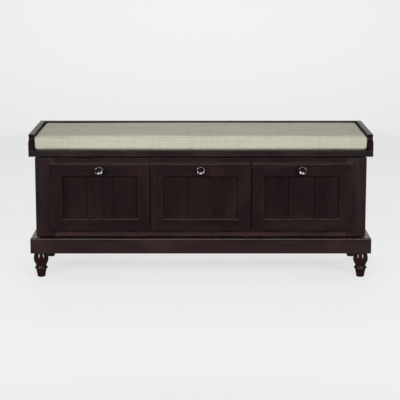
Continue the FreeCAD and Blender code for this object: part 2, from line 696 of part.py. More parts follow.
def make_stay_swivel(name):
    """Rod guide: a short barrel that turns on the post's pin and lets the rod slide across it."""
    face_x, rod_x, facing = stay_frame(name)
    depth, height = SWIVEL_PIVOT
    way = X_AXIS * facing
    start = at(face_x + facing * SWIVEL_STANDOFF, depth, height)
    barrel = rod(SWIVEL_RADIUS, SWIVEL_LENGTH, start, way)
    barrel = ease(barrel, 1.0, lambda p: abs(p.x - start.x) > SWIVEL_LENGTH - 0.1)
    barrel = barrel.cut(rod(SWIVEL_PIN_RADIUS + RUNNING_FIT, SWIVEL_PIN_LENGTH - STAY_PLATE_THICKNESS, start, way))
    centre = at(rod_x, depth, height)
    tunnel = rod(ROD_RADIUS + RUNNING_FIT, 4 * SWIVEL_RADIUS, centre - ROD_DIRECTION * 2 * SWIVEL_RADIUS,
                 ROD_DIRECTION)
    return barrel.cut(tunnel)


def make_stay_rod(name):
    """Round rod with an eye on the door's pivot and a stop that meets the guide when the flap is level."""
    _, rod_x, facing = stay_frame(name)
    pivot = at(rod_x, *DOOR_PIVOT)
    stop_start = stay_reach(OPEN_ANGLE) + SWIVEL_RADIUS + STOP_ROOM
    bar = rod(ROD_RADIUS, stop_start + STOP_LENGTH, pivot, ROD_DIRECTION)
    stop = rod(STOP_RADIUS, STOP_LENGTH, pivot + ROD_DIRECTION * stop_start, ROD_DIRECTION)
    eye_start = pivot - X_AXIS * EYE_THICKNESS / 2
    eye = rod(EYE_RADIUS, EYE_THICKNESS, eye_start, X_AXIS)
    flat = rod(EYE_RADIUS + 1, 2 * EYE_RADIUS, pivot - X_AXIS * EYE_RADIUS, X_AXIS)
    slot = flat.cut(rod(EYE_RADIUS + 2, EYE_THICKNESS, eye_start, X_AXIS))
    blank = bar.fuse(stop).cut(slot).fuse(eye).removeSplitter()
    return blank.cut(rod(BRACKET_PIN_RADIUS + RUNNING_FIT, 2 * EYE_RADIUS, pivot - X_AXIS * EYE_RADIUS, X_AXIS))


def make_stay_bracket(name):
    """Plate on the back of the door with one ear, and the pin the rod's eye turns on."""
    _, rod_x, facing = stay_frame(name)
    depth, height = DOOR_PIVOT
    way = X_AXIS * -facing
    half_width = STAY_PLATE_WIDTH / 2
    half_length = STAY_PLATE_LENGTH / 2
    plate = box((rod_x - half_width, rod_x + half_width), (DOOR_REAR, DOOR_REAR + STAY_PLATE_THICKNESS),
                (height - half_length, height + half_length))
    plate = ease(plate, 4.0, lambda p: abs(abs(p.x - rod_x) - half_width) < 0.1
                 and abs(abs(p.z - height) - half_length) < 0.1)
    plate = cut_all(plate, screw_holes(HINGE_SCREW, bracket_seats(name)))
    ear_near = rod_x + facing * (EYE_THICKNESS / 2 + SIDE_PLAY)
    ear_far = ear_near + facing * EAR_THICKNESS
    ear = box((ear_near, ear_far), (DOOR_REAR, depth), (height - EAR_WIDTH / 2, height + EAR_WIDTH / 2))
    ear_end = rod(EAR_WIDTH / 2, EAR_THICKNESS, at(min(ear_near, ear_far), depth, height), X_AXIS)
    pin_length = EAR_THICKNESS + EYE_THICKNESS + 2 * SIDE_PLAY
    pin = rod(BRACKET_PIN_RADIUS, pin_length, at(ear_far, depth, height), way)
    head_start = at(ear_far - facing * pin_length, depth, height)
    head = rod(BRACKET_PIN_HEAD_RADIUS, BRACKET_PIN_HEAD, head_start, way)
    return plate.fuse([ear, ear_end, pin, head]).removeSplitter()


# ---- cushion -------------------------------------------------------------------------------------
def make_cushion():
    half = CUSHION_WIDTH / 2
    back = DEPTH - WALL_THICKNESS - CUSHION_BACK_PLAY
    block = box((-half, half), (CUSHION_FRONT, back), (SEAT_TOP, SEAT_TOP + CUSHION_THICKNESS))
    return block.makeFillet(CUSHION_EDGE_RADIUS, block.Edges)


# ---- the whole bench -----------------------------------------------------------------------------
def make_fixed_parts():
    envelope = cabinet_envelope()
    fixed = {"seat_board": make_seat_board(),
             "side_wall_left": make_side_wall(-1),
             "side_wall_right": make_side_wall(1),
             "back_wall": make_back_wall(),
             "tray_battens": make_tray_battens(),
             "post_left": make_post(-1, envelope),
             "post_right": make_post(1, envelope),
             "top_rail": make_frame_rail((TOP_RAIL_BOTTOM, TRAY_TOP), envelope),
             "bottom_rail": make_bottom_rail(envelope),
             "side_panel_left": make_side_panel(-1, envelope),
             "side_panel_right": make_side_panel(1, envelope),
             "back_panel": make_back_panel(),
             "divider_left": make_divider(-1),
             "divider_right": make_divider(1),
             "bottom_panel": make_bottom_panel(),
             "plinth_blocks": make_plinth_blocks(),
             "foot_bolts": make_foot_bolts(),
             "hinge_frame_leaves": make_frame_leaves(),
             "hinge_pins": make_hinge_pins(),
             "stay_posts": [make_stay_post(name) for name in DOOR_NAMES]}
    fixed.update(make_plinth_boards())
    for name, (x, depth) in foot_places().items():
        fixed[name] = make_foot(x, depth)
    plate_seats = [seat for name in DOOR_NAMES for seat in stay_post_seats(name)]
    fixed["wood_screws"] = (screws(TRAY_SCREW, wall_screw_seats() + batten_screw_seats())
                            + screws(HINGE_SCREW, frame_leaf_seats() + plate_seats))
    return fixed


def make_flap(name, centre):
    stiles, rails = make_door_frame(name, centre)
    return {f"{name}_door_stiles": stiles,
            f"{name}_door_rails": rails,
            f"{name}_door_panel": make_panel(centre),
            f"{name}_knob": make_knob(centre),
            f"{name}_knob_screw": make_knob_screw(centre),
            f"{name}_hinge_leaves": make_door_leaves(centre),
            f"{name}_stay_bracket": make_stay_bracket(name),
            f"{name}_door_screws": screws(HINGE_SCREW, door_leaf_seats(centre) + bracket_seats(name)),
            f"{name}_stay_rod": make_stay_rod(name),
            f"{name}_stay_swivel": make_stay_swivel(name)}


def make_bench():
    bench = make_fixed_parts()
    for name, centre in zip(DOOR_NAMES, DOOR_CENTRES):
        bench.update(make_flap(name, centre))
    bench["cushion"] = make_cushion()
    return bench


def export(bench):
    os.makedirs("parts", exist_ok=True)
    for name, shape in bench.items():
        whole = Part.makeCompound(shape) if isinstance(shape, list) else shape
        whole.exportStep(f"parts/{name}.step")


export(make_bench())
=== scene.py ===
import math

import bmesh
import bpy
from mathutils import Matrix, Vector, noise


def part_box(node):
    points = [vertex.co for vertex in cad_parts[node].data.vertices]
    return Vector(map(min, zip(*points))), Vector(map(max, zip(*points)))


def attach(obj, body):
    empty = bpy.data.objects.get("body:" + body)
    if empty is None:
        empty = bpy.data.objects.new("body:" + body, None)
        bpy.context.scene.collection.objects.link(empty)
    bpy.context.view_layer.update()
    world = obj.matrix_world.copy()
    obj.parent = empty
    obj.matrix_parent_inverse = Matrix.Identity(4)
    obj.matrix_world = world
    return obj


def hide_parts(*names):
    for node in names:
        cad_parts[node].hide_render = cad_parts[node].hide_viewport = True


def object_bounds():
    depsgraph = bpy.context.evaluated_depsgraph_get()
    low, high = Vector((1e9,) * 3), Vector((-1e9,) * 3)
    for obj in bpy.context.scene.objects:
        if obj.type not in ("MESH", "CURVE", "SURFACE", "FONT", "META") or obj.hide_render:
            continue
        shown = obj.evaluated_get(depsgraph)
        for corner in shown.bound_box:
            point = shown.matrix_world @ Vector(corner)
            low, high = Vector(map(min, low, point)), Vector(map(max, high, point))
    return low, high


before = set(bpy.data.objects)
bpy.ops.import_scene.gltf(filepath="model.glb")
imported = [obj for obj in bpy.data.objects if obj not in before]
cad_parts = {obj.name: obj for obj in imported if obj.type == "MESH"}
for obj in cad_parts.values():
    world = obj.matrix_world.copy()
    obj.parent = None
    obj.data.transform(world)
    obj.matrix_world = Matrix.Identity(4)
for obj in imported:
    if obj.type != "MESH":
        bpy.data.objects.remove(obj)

# A storage bench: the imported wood, metal and knobs get their materials here, and the plain cushion
# block is replaced by a simulated box cushion with sewn seams. Metres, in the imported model's frame.

CAD_LOW, CAD_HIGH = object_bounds()
MM = 0.001

TRAY_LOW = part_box("seat_board")[0]
CUSHION_LOW, CUSHION_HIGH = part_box("cushion")
BACK_WALL_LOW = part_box("back_wall")[0]
LEFT_WALL_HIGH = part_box("side_wall_left")[1]
RIGHT_WALL_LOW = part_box("side_wall_right")[0]

# ---- camera: how far away and how high it stands, and what it looks at ----------------------------
CAMERA_DISTANCE = 4.957        # from the plane of the tray's front
CAMERA_HEIGHT = 1.194
CAMERA_TILT = math.radians(10.38)
CAMERA_SIDE = -0.0029
FOCAL_LENGTH = 127.5           # on a 36 mm sensor
CLIP_END = 50.0

# ---- light ---------------------------------------------------------------------------------------
SIDE_LIGHT_POWER = 12.0
SIDE_LIGHT_SIZE = (0.30, 2.0)     # tall strips: they draw the two streaks on every turned foot
SIDE_LIGHT_PLACE = Vector((1.9, -2.6, 1.15))
SIDE_LIGHT_COLOUR = (0.92, 0.96, 1.0)
FRONT_LIGHT_POWER = 30.0
FRONT_LIGHT_SIZE = (3.2, 1.6)
FRONT_LIGHT_PLACE = Vector((0.0, -5.6, 2.4))
FRONT_LIGHT_COLOUR = (1.0, 0.95, 0.87)
TOP_LIGHT_POWER = 2.8
TOP_LIGHT_SIZE = (2.0, 1.0)
TOP_LIGHT_PLACE = Vector((0.0, 0.3, 3.0))
TOP_LIGHT_COLOUR = (0.82, 0.91, 1.0)
BACK_LIGHT_POWER = 31.0        # lights only the backdrop and the floor behind the bench
BACK_LIGHT_SIZE = (5.0, 1.6)
BACK_LIGHT_PLACE = Vector((0.0, 2.4, 3.2))
BACK_LIGHT_AIM = Vector((0.0, 6.0, 0.6))
REAR_LIGHT_POWER = 20.0        # a soft fill for the back of the bench
REAR_LIGHT_SIZE = (3.0, 1.5)
REAR_LIGHT_PLACE = Vector((0.0, 4.0, 3.4))
WHITE = (1.0, 1.0, 1.0)        # the colour of the last two
LIGHT_SPREAD = math.radians(75)    # grids on the softboxes keep their light off the floor around them
WORLD_COLOUR = (0.95, 0.96, 1.0, 1.0)
WORLD_STRENGTH = 0.10

# ---- cushion -------------------------------------------------------------------------------------
CUSHION_SHRINK = 4 * MM            # the unfilled cover stands this far inside, because filling swells it
BLANK_BEVEL = 3.5 * MM
VOXEL = 5 * MM
CLOTH_FRAMES = 20
CLOTH_PRESSURE = 4.0
CLOTH_STIFFNESS = 40
CLOTH_BENDING = 2
SWELL_CAP = (1.5 * MM, 1.5 * MM, 4 * MM)   # how far the filling may push the cover out along x, y, z
PULL_CAP = 0.6 * MM                        # how far its tension may draw it in
NEIGHBOUR_ROOM = 2 * MM            # kept clear of the tray's walls
CUSHION_CROWN = 3 * MM
DIMPLE_DEPTH = 1.3 * MM            # soft waves in the top
DIMPLES_PER_METRE = (4.2, 7.5)     # along x and y
DIMPLE_LEVEL = 0.4                 # where the waves are cut from the noise
WAIST_PULL = 1.5 * MM              # how far the ends pull in towards the bottom
FRONT_WAIST_SHARE = 0.2            # the front and the back pull in by this share of it
END_ZONE = 0.03                    # the outer share of the half length that counts as an end
FRONT_ZONE = 0.1                   # the outer share of the half depth that counts as the front or the back
SEAM_HEIGHTS = (4 * MM, 9 * MM)    # up from the bottom, down from the top
SEAM_DEPTH = 0.8 * MM
SEAM_WIDTH = 3.0 * MM
SEAM_LINES = (CUSHION_LOW.z + SEAM_HEIGHTS[0], CUSHION_HIGH.z - SEAM_HEIGHTS[1])
STITCH_PITCH = 3.5 * MM
STITCH_OFFSET = 2.6 * MM           # a row of top stitching runs this far above each seam


# ---- node helpers --------------------------------------------------------------------------------
BAND_CORE = 0.35                   # the share of a drawn line's half width that has its full strength


class Shader:
    """A node material under construction: short calls that add nodes and join them."""

    def __init__(self, name):
        self.material = bpy.data.materials.new(name)
        self.material.use_nodes = True
        self.nodes = self.material.node_tree.nodes
        self.bsdf = self.nodes["Principled BSDF"]

    def add(self, kind, settings=None, **inputs):
        node = self.nodes.new(kind)
        for key, value in (settings or {}).items():
            setattr(node, key, value)
        for key, value in inputs.items():
            self.feed(node, key.replace("_", " "), value)
        return node

    def feed(self, node, key, value):
        socket = node.inputs[int(key)] if key.isdigit() else node.inputs[key]
        if isinstance(value, bpy.types.NodeSocket):
            self.material.node_tree.links.new(value, socket)
        else:
            socket.default_value = value

    def surface(self, **inputs):
        for key, value in inputs.items():
            self.feed(self.bsdf, key.replace("_", " "), value)
        return self.material

    def place(self):
        """The point being shaded, split into X, Y and Z outputs."""
        where = self.add("ShaderNodeTexCoord").outputs["Object"]
        return self.add("ShaderNodeSeparateXYZ", Vector=where)

    def coordinates(self, scale=(1, 1, 1), offset=(0, 0, 0)):
        where = self.add("ShaderNodeTexCoord").outputs["Object"]
        mapping = self.add("ShaderNodeMapping", Vector=where, Location=offset, Scale=scale)
        return mapping.outputs["Vector"]

    def noise(self, vector, scale=1.0, detail=4.0, roughness=0.55, distortion=0.0):
        node = self.add("ShaderNodeTexNoise", Vector=vector, Scale=scale, Detail=detail,
                        Roughness=roughness, Distortion=distortion)
        return node.outputs["Fac"]

    def span(self, value, low, high, out_low=0.0, out_high=1.0):
        node = self.add("ShaderNodeMapRange", Value=value)
        for key, number in (("From Min", low), ("From Max", high), ("To Min", out_low), ("To Max", out_high)):
            node.inputs[key].default_value = number
        return node.outputs["Result"]

    def band(self, value, centre, half_width):
        """1 on a line where the value equals the centre, fading to 0 at the half width."""
        away = self.math("ABSOLUTE", self.math("SUBTRACT", value, centre), 0.0)
        return self.span(away, half_width * BAND_CORE, half_width, 1.0, 0.0)

    def math(self, operation, first, second):
        node = self.add("ShaderNodeMath", {"operation": operation})
        self.feed(node, "0", first)
        self.feed(node, "1", second)
        return node.outputs[0]

    def mix(self, amount, first, second):
        node = self.add("ShaderNodeMix", {"data_type": "RGBA"})
        self.feed(node, "0", amount)
        self.feed(node, "6", first)
        self.feed(node, "7", second)
        return node.outputs[2]

    def bump(self, height, strength, distance, normal=None):
        node = self.add("ShaderNodeBump", Height=height, Strength=strength, Distance=distance)
        if normal is not None:
            self.feed(node, "Normal", normal)
        return node.outputs["Normal"]


# ---- materials -----------------------------------------------------------------------------------
STAIN_DARK = (0.0078, 0.0036, 0.0041)
STAIN_MIDDLE = (0.0138, 0.0058, 0.0063)
STAIN_LIGHT = (0.0245, 0.0090, 0.0075)
STAIN_CLOUD = (0.0200, 0.0078, 0.0069)
TURNED_DARK = (0.0150, 0.0045, 0.0030)
TURNED_LIGHT = (0.0330, 0.0100, 0.0060)

# What each edge gets: (its colour there, how far in from the edge that reaches). On rounded edges it is stain
# rubbed through to redder wood plus a painted highlight; in grooves it is painted shade with stain gathered
# there.
RUBBED_EDGE_AND_HIGHLIGHT = ((0.0800, 0.0180, 0.0085), 1.6 * MM)
MOULDED_EDGE_AND_HIGHLIGHT = ((0.0950, 0.0190, 0.0085), 2.6 * MM)     # the moulding round each panel: rubbed more, and painted lighter as a highlight, also where the rail above shades it
POOLED_GROOVE_AND_SHADE = ((0.0030, 0.0018, 0.0021), 1.6 * MM)    # painted shade in a panel's grooves, with stain gathered there
BEND_STARTS, BEND_FULL = 0.985, 0.80                    # cosines between the rounded and the true normal
BEVEL_SAMPLES = 6

# Texture features per metre: (along the grain, across it).
FIGURE_SCALE = (1.6, 22)
STREAK_SCALE = (5, 230)
PORE_SCALE = (60, 1300)
CLOUD_SCALE = (6, 14)
SEED_STEP = (1.37, 0.61, 2.13)     # moves each board to its own place in the textures

BOARD_ROUGHNESS = (0.20, 0.30)
TURNED_ROUGHNESS = (0.09, 0.14)
BOARD_RELIEF = 0.22
TURNED_RELIEF = 0.04
PORE_DEPTH = 0.25 * MM

# How light each board is coloured, and how glossy its lacquer is: (lightness, specular level). The plinth and
# the bottom rail are painted lighter as painted light: the plinth for the light it catches as it stands out,
# the bottom rail to lift the shade under the doors.
TONE = (1.0, 0.28)
TONE_AND_PAINTED_LIGHT_BY_NODE = {
    "plinth_front": (1.5, 0.50), "plinth_left": (1.5, 0.50), "plinth_right": (1.5, 0.50),
    "bottom_rail": (2.3, 0.50), "post_left": (1.15, 0.40), "post_right": (1.15, 0.40),
    "side_wall_left": (1.1, 0.10), "side_wall_right": (1.1, 0.10), "seat_board": (1.2, 0.40)}
TONE_BY_ENDING = {"door_panel": (0.80, 0.28)}
TURNED_TONE = (1.0, 0.50)

# Which way the grain runs.
GRAIN_BY_NODE = {
    "seat_board": "X", "back_wall": "X", "tray_battens": "X", "top_rail": "X", "bottom_rail": "X",
    "plinth_front": "X", "plinth_back": "X", "plinth_blocks": "X", "bottom_panel": "X",
    "side_wall_left": "Y", "side_wall_right": "Y", "plinth_left": "Y", "plinth_right": "Y",
    "post_left": "Z", "post_right": "Z", "side_panel_left": "Z", "side_panel_right": "Z",
    "divider_left": "Z", "divider_right": "Z"}
GRAIN_BY_ENDING = {"door_stiles": "Z", "door_rails": "X", "door_panel": "Z"}
EDGE_BY_ENDING = {"door_stiles": MOULDED_EDGE_AND_HIGHLIGHT, "door_rails": MOULDED_EDGE_AND_HIGHLIGHT, "door_panel": POOLED_GROOVE_AND_SHADE}


def edge_mask(shader, radius):
    """1 where the surface bends within the radius, 0 on the flat, and the rounded normal itself."""
    bevel = shader.add("ShaderNodeBevel", {"samples": BEVEL_SAMPLES}, Radius=radius)
    rounded = bevel.outputs["Normal"]
    true_normal = shader.add("ShaderNodeNewGeometry").outputs["Normal"]
    alike = shader.add("ShaderNodeVectorMath", {"operation": "DOT_PRODUCT"})
    shader.feed(alike, "0", rounded)
    shader.feed(alike, "1", true_normal)
    return shader.span(alike.outputs["Value"], BEND_STARTS, BEND_FULL), rounded


def along_grain(grain, slow, fast):
    """Texture scales: slow along the named axis, fast along the other two."""
    return tuple(slow if axis == grain else fast for axis in "XYZ")


def toned(colour, lightness):
    return tuple(channel * lightness for channel in colour) + (1,)


def within(shader, box):
    """1 inside the box's outline as seen from the front, 0 outside it."""
    low, high = box
    where = shader.place()
    inside = []
    for axis, key in ((0, "X"), (2, "Z")):
        centre, half_size = (low[axis] + high[axis]) / 2, (high[axis] - low[axis]) / 2
        away = shader.math("ABSOLUTE", shader.math("SUBTRACT", where.outputs[key], centre), 0.0)
        inside.append(shader.math("LESS_THAN", away, half_size))
    return shader.math("MULTIPLY", *inside)


def lacquered_wood(name, grain, seed, tone, edge=RUBBED_EDGE_AND_HIGHLIGHT, moulding=None, turned=False):
    """Espresso stain under satin lacquer: long grain streaks, fine pores, and a colour at the edges that is
    rubbed-through stain with a painted highlight, and painted shade in grooves.

    Given a moulding's box, only the edges inside the outline of that box take the edge colour.
    """
    lightness, specular = tone
    edge_colour, edge_reach = edge
    colours = STAIN_DARK, STAIN_MIDDLE, STAIN_LIGHT
    roughness_range, relief_strength = BOARD_ROUGHNESS, BOARD_RELIEF
    if turned:
        colours = TURNED_DARK, TURNED_DARK, TURNED_LIGHT
        roughness_range, relief_strength = TURNED_ROUGHNESS, TURNED_RELIEF
    dark, middle, light = (toned(colour, lightness) for colour in colours)

    shader = Shader(name)
    offset = tuple(seed * step for step in SEED_STEP)

    def grained(scale, **texture):
        return shader.noise(shader.coordinates(along_grain(grain, *scale), offset), **texture)

    figure = grained(FIGURE_SCALE, detail=5.0, roughness=0.6, distortion=0.7)
    streaks = grained(STREAK_SCALE, detail=3.0, roughness=0.6, distortion=0.2)
    pores = grained(PORE_SCALE, detail=2.0, roughness=0.5)
    clouds = grained(CLOUD_SCALE, detail=3.0, roughness=0.5)
    body = shader.mix(shader.span(figure, 0.35, 0.68), dark, middle)
    body = shader.mix(shader.span(clouds, 0.46, 0.68, 0.0, 0.65), body, toned(STAIN_CLOUD, lightness))
    body = shader.mix(shader.span(streaks, 0.56, 0.80, 0.0, 0.42), body, light)
    body = shader.mix(shader.span(pores, 0.30, 0.44, 0.45, 0.0), body, toned(STAIN_DARK, 1.0))

    # The edge colour: rubbed-through stain plus a painted highlight on rounded edges, and painted shade in
    # grooves.
    edges, rounded = edge_mask(shader, edge_reach)
    patchy = shader.math("MULTIPLY", edges, shader.span(clouds, 0.38, 0.62, 0.50, 1.00))
    if moulding:
        patchy = shader.math("MULTIPLY", patchy, within(shader, moulding))
    body = shader.mix(patchy, body, toned(edge_colour, 1.0))

    roughness = shader.span(shader.math("ADD", clouds, streaks), 0.7, 1.3, *roughness_range)
    relief = shader.math("ADD", shader.math("MULTIPLY", streaks, 0.6), shader.math("MULTIPLY", pores, 0.4))
    normal = shader.bump(relief, relief_strength, PORE_DEPTH, rounded)
    return shader.surface(Base_Color=body, Roughness=roughness, Normal=normal, Specular_IOR_Level=specular)


def stained_board(name):
    """The thin back board: the same stain, matt, on a smooth fibre board."""
    shader = Shader(name)
    mottle = shader.noise(shader.coordinates((35, 35, 35)), 1.0, 6.0, 0.65)
    fibres = shader.noise(shader.coordinates((900, 900, 900)), 1.0, 2.0)
    colour = shader.mix(shader.span(mottle, 0.3, 0.7), toned(STAIN_MIDDLE, 1.0), toned(STAIN_LIGHT, 1.0))
    return shader.surface(Base_Color=colour, Roughness=shader.span(fibres, 0.3, 0.7, 0.55, 0.72),
                          Normal=shader.bump(fibres, 0.25, 0.2 * MM))


PEWTER_DARK = (0.065, 0.055, 0.058, 1)
PEWTER_LIGHT = (0.135, 0.118, 0.124, 1)
STEEL_COLOURS = {"zinc": ((0.36, 0.35, 0.33, 1), (0.56, 0.56, 0.55, 1)),
                 "bronze": ((0.020, 0.014, 0.013, 1), (0.045, 0.032, 0.028, 1))}
MARK_DEPTH = 0.1 * MM              # turning and rolling marks


def pewter(name):
    """Polished dark metal with faint turning marks and patches of tarnish."""
    shader = Shader(name)
    marks = shader.noise(shader.coordinates((90, 2200, 90)), 1.0, 2.0)
    tarnish = shader.noise(shader.coordinates((160, 160, 160)), 1.0, 4.0)
    colour = shader.mix(shader.span(tarnish, 0.35, 0.7), PEWTER_DARK, PEWTER_LIGHT)
    return shader.surface(Base_Color=colour, Metallic=1.0,
                          Roughness=shader.span(tarnish, 0.3, 0.7, 0.10, 0.20),
                          Normal=shader.bump(marks, 0.08, MARK_DEPTH))


def plated_steel(name, seed, finish):
    """Plated steel with fine rolling marks and a little dulling."""
    shader = Shader(name)
    marks = shader.noise(shader.coordinates((2500, 90, 2500), (seed, 0, 0)), 1.0, 2.0)
    dull = shader.noise(shader.coordinates((55, 55, 55), (0, seed, 0)), 1.0, 4.0)
    colour = shader.mix(shader.span(dull, 0.3, 0.7), *STEEL_COLOURS[finish])
    return shader.surface(Base_Color=colour, Metallic=1.0,
                          Roughness=shader.span(marks, 0.3, 0.7, 0.24, 0.40),
                          Normal=shader.bump(marks, 0.12, MARK_DEPTH))


THREAD_PITCH = 1.15 * MM
WAVE_UNIT = math.pi / 10           # a wave texture of this scale repeats once a metre
LINEN_PALE = (0.470, 0.447, 0.368, 1)
LINEN_GREY = (0.400, 0.383, 0.322, 1)
LINEN_SLUB = (0.310, 0.281, 0.198, 1)
LINEN_SHADE = (0.170, 0.152, 0.108, 1)
LINEN_THREAD = (0.560, 0.535, 0.440, 1)
GROOVE_HALF_WIDTH = 0.9 * MM
STITCH_HALF_WIDTH = 0.6 * MM
WEAVE_DEPTH = 0.5 * MM


def weave_of(shader):
    """Crossing threads: 1 where they lie on top, 0 in the gaps between them."""
    threads = []
    for axis in "XYZ":
        settings = {"wave_type": "BANDS", "bands_direction": axis, "wave_profile": "SIN"}
        wave = shader.add("ShaderNodeTexWave", settings, Vector=shader.coordinates(),
                          Scale=WAVE_UNIT / THREAD_PITCH, Distortion=0.6, Detail=1.0)
        wave.inputs["Detail Scale"].default_value = 2.0
        threads.append(wave.outputs["Fac"])
    return shader.math("MULTIPLY", threads[0], shader.math("MAXIMUM", threads[1], threads[2]))


def sewing_of(shader):
    """Two masks: the grooves of the two seams, and the dashes of the top stitching above each."""
    level = shader.place().outputs["Z"]
    grooves = [shader.band(level, line, GROOVE_HALF_WIDTH) for line in SEAM_LINES]
    rows = [shader.band(level, line + STITCH_OFFSET, STITCH_HALF_WIDTH) for line in SEAM_LINES]
    settings = {"wave_type": "BANDS", "bands_direction": "DIAGONAL", "wave_profile": "SIN"}
    dashes = shader.add("ShaderNodeTexWave", settings, Vector=shader.coordinates(),
                        Scale=WAVE_UNIT / STITCH_PITCH)
    gaps = shader.span(dashes.outputs["Fac"], 0.3, 0.5)
    return shader.math("MAXIMUM", *grooves), shader.math("MULTIPLY", shader.math("MAXIMUM", *rows), gaps)


def linen(name):
    """Plain-weave linen: two sets of crossing threads, thick slubs, and slow shading of the dye."""
    shader = Shader(name)
    weave = weave_of(shader)
    groove, stitches = sewing_of(shader)
    slubs_up = shader.noise(shader.coordinates((190, 7, 7), (0.3, 0, 0)), 1.0, 3.0, 0.6, 0.2)
    slubs_across = shader.noise(shader.coordinates((5, 210, 210), (0, 0.7, 0)), 1.0, 3.0, 0.6, 0.2)
    clouds = shader.noise(shader.coordinates((5, 9, 9)), 1.0, 3.0)
    colour = shader.mix(shader.span(clouds, 0.35, 0.65, 0.0, 0.35), LINEN_PALE, LINEN_GREY)
    colour = shader.mix(shader.span(slubs_up, 0.50, 0.76, 0.0, 0.45), colour, LINEN_SLUB)
    colour = shader.mix(shader.span(slubs_across, 0.50, 0.76, 0.0, 0.60), colour, LINEN_SLUB)
    colour = shader.mix(shader.span(weave, 0.0, 0.5, 0.28, 0.0), colour, LINEN_SLUB)
    colour = shader.mix(shader.math("MULTIPLY", groove, 0.35), colour, LINEN_SHADE)
    colour = shader.mix(shader.math("MULTIPLY", stitches, 0.6), colour, LINEN_THREAD)
    height = shader.math("ADD", weave, shader.math("ADD", slubs_up, slubs_across))
    cloth = shader.bump(height, 0.5, WEAVE_DEPTH)
    sewing = shader.math("SUBTRACT", stitches, shader.math("MULTIPLY", groove, 2.0))
    sewn = shader.bump(sewing, 0.6, WEAVE_DEPTH, cloth)
    return shader.surface(Base_Color=colour, Roughness=0.92, Normal=sewn, Specular_IOR_Level=0.15)


def paint(piece, material):
    piece.data.materials.clear()
    piece.data.materials.append(material)


def paint_cad_nodes():
    """Every wooden node gets its own piece of timber, with the grain along its length."""
    board = stained_board("back_board")
    knob_metal = pewter("dark_pewter")
    for seed, (name, piece) in enumerate(sorted(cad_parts.items()), start=1):
        ending = next((e for e in GRAIN_BY_ENDING if name.endswith(e)), None)
        grain = GRAIN_BY_NODE.get(name) or GRAIN_BY_ENDING.get(ending)
        tone = TONE_AND_PAINTED_LIGHT_BY_NODE.get(name) or TONE_BY_ENDING.get(ending, TONE)
        if grain:
            edge = EDGE_BY_ENDING.get(ending, RUBBED_EDGE_AND_HIGHLIGHT)
            framed = ending in ("door_stiles", "door_rails")
            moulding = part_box(name.replace(ending, "door_panel")) if framed else None
            paint(piece, lacquered_wood(name + "_wood", grain, seed, tone, edge, moulding))
        elif name.startswith("foot_") and name != "foot_bolts":
            paint(piece, lacquered_wood(name + "_wood", "Z", seed, TURNED_TONE, turned=True))
        elif name == "back_panel":
            paint(piece, board)
        elif name.endswith("_knob"):
            paint(piece, knob_metal)
        elif name != "cushion":
            finish = "bronze" if "hinge" in name else "zinc"
            paint(piece, plated_steel(name + "_steel", seed, finish))


# ---- cushion -------------------------------------------------------------------------------------
def cushion_blank():
    """The cushion before it is filled: a plain box with softened edges, a little too small."""
    low = CUSHION_LOW + Vector((CUSHION_SHRINK, CUSHION_SHRINK, 0))
    high = CUSHION_HIGH - Vector((CUSHION_SHRINK, CUSHION_SHRINK, CUSHION_SHRINK))
    size = high - low
    centre = (low + high) / 2
    mesh = bpy.data.meshes.new("cushion_cover")
    shell = bmesh.new()
    bmesh.ops.create_cube(shell, size=1.0)
    for vertex in shell.verts:
        vertex.co = centre + Vector(v * s for v, s in zip(vertex.co, size))
    bmesh.ops.bevel(shell, geom=shell.edges[:], offset=BLANK_BEVEL, segments=3, affect="EDGES", profile=0.5)
    shell.to_mesh(mesh)
    shell.free()
    piece = bpy.data.objects.new("cushion_cover", mesh)
    bpy.context.scene.collection.objects.link(piece)
    return piece


def apply_modifiers(piece):
    depsgraph = bpy.context.evaluated_depsgraph_get()
    mesh = bpy.data.meshes.new_from_object(piece.evaluated_get(depsgraph))
    piece.modifiers.clear()
    old = piece.data
    piece.data = mesh
    bpy.data.meshes.remove(old)


def remesh(piece):
    modifier = piece.modifiers.new("remesh", "REMESH")
    modifier.mode = "VOXEL"
    modifier.voxel_size = VOXEL
    modifier.use_smooth_shade = True
    apply_modifiers(piece)


def inflate(piece):
    """Cloth pressure fills the cover, and no point moves further than the two caps."""
    before = [vertex.co.copy() for vertex in piece.data.vertices]
    centre = (CUSHION_LOW + CUSHION_HIGH) / 2
    cloth = piece.modifiers.new("cloth", "CLOTH")
    cloth.settings.use_pressure = True
    cloth.settings.uniform_pressure_force = CLOTH_PRESSURE
    cloth.settings.effector_weights.gravity = 0
    cloth.settings.tension_stiffness = CLOTH_STIFFNESS
    cloth.settings.compression_stiffness = CLOTH_STIFFNESS
    cloth.settings.bending_stiffness = CLOTH_BENDING
    for step in range(1, CLOTH_FRAMES + 1):
        bpy.context.scene.frame_set(step)
    apply_modifiers(piece)
    for vertex, start in zip(piece.data.vertices, before):
        for axis, cap in enumerate(SWELL_CAP):
            outward = math.copysign(1.0, start[axis] - centre[axis])
            travel = outward * (vertex.co[axis] - start[axis])
            vertex.co[axis] = start[axis] + outward * max(-PULL_CAP, min(cap, travel))
    bpy.context.scene.frame_set(1)


def smooth_step(value):
    value = max(0.0, min(1.0, value))
    return value * value * (3 - 2 * value)


def seam_pinch(height):
    """How deep the cover is drawn in by the two seams that join the boxing to the panels."""
    near = min(abs(height - line) for line in SEAM_LINES)
    return SEAM_DEPTH * math.exp(-((near / SEAM_WIDTH) ** 2))


